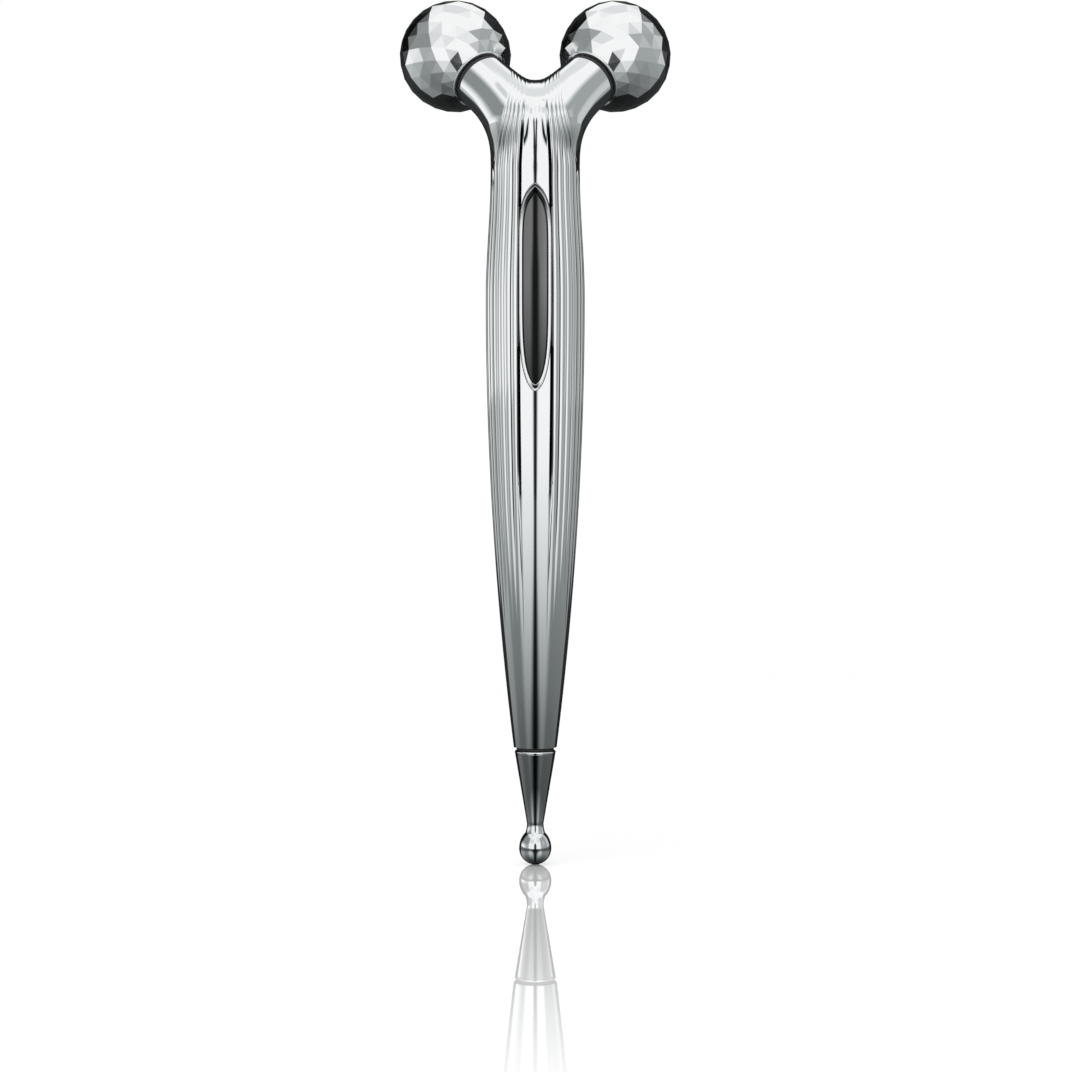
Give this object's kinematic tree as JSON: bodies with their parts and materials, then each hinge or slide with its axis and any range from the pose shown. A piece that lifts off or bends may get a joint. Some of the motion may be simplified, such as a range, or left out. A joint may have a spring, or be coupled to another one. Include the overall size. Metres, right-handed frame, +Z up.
{
  "type": "facial toning device",
  "caption": "Y-shaped hand-held facial roller with a fluted handle, a light panel, a diamond-cut ball on a fork arm each side and a small ball point at the foot.",
  "frame": {"origin": "lowest point of the ball point at the foot of the handle, on the handle's axis", "axes": "+Z up the handle towards the fork, +X to the right seen from the front, +Y away from the front, towards which the arms lean back"},
  "size_m": [0.0448, 0.0262, 0.1416],
  "materials": {
    "polished_chrome": "mirror chrome plate",
    "cut_chrome": "mirror chrome plate over diamond-cut facets",
    "trim_chrome": "mirror chrome plate",
    "point_chrome": "dark mirror chrome plate",
    "dark_window": "clear cover over black, polished",
    "black_seal": "matte black",
    "cell": "black silicon on a thin carrier",
    "gilt_contact": "bright contact plating",
    "board": "board with solder mask",
    "chip_black": "moulded package",
    "zinc_frame": "as cast",
    "steel": "turned steel",
    "weight_steel": "plain steel",
    "bush_bronze": "sintered bronze",
    "hub_plastic": "moulded"
  },
  "bodies": {
    "handle": {"front_shell": "polished_chrome", "rear_shell": "polished_chrome", "panel_bezel": "trim_chrome", "panel_window": "dark_window", "panel_gasket": "black_seal", "solar_cell": "cell", "contact_pins": "gilt_contact", "circuit_board": "board", "board_parts": "chip_black", "contact_leaf": "gilt_contact", "yoke_frame": "zinc_frame", "frame_screws": "steel", "handle_weight": "weight_steel", "tip_stud": "steel", "tip_seal": "black_seal", "tip_collar": "trim_chrome", "point_tip": "point_chrome", "right_axle": "steel", "right_washer": "steel", "right_clip": "steel", "right_arm_seal": "black_seal", "left_axle": "steel", "left_washer": "steel", "left_clip": "steel", "left_arm_seal": "black_seal"},
    "right_roller": {"right_ball": "cut_chrome", "right_ball_rim": "trim_chrome", "right_hub": "hub_plastic", "right_inner_bush": "bush_bronze", "right_outer_bush": "bush_bronze"},
    "left_roller": {"left_ball": "cut_chrome", "left_ball_rim": "trim_chrome", "left_hub": "hub_plastic", "left_inner_bush": "bush_bronze", "left_outer_bush": "bush_bronze"}
  },
  "joints": [
    {"name": "right_roller_spin", "type": "hinge", "parent": "handle", "child": "right_roller", "pos_m": [0.01325, 0.0098, 0.1324], "axis": [0.5344, 0.6379, 0.5545], "continuous": true},
    {"name": "left_roller_spin", "type": "hinge", "parent": "handle", "child": "left_roller", "pos_m": [-0.01325, 0.0098, 0.1324], "axis": [-0.5344, 0.6379, 0.5545], "continuous": true}
  ]
}
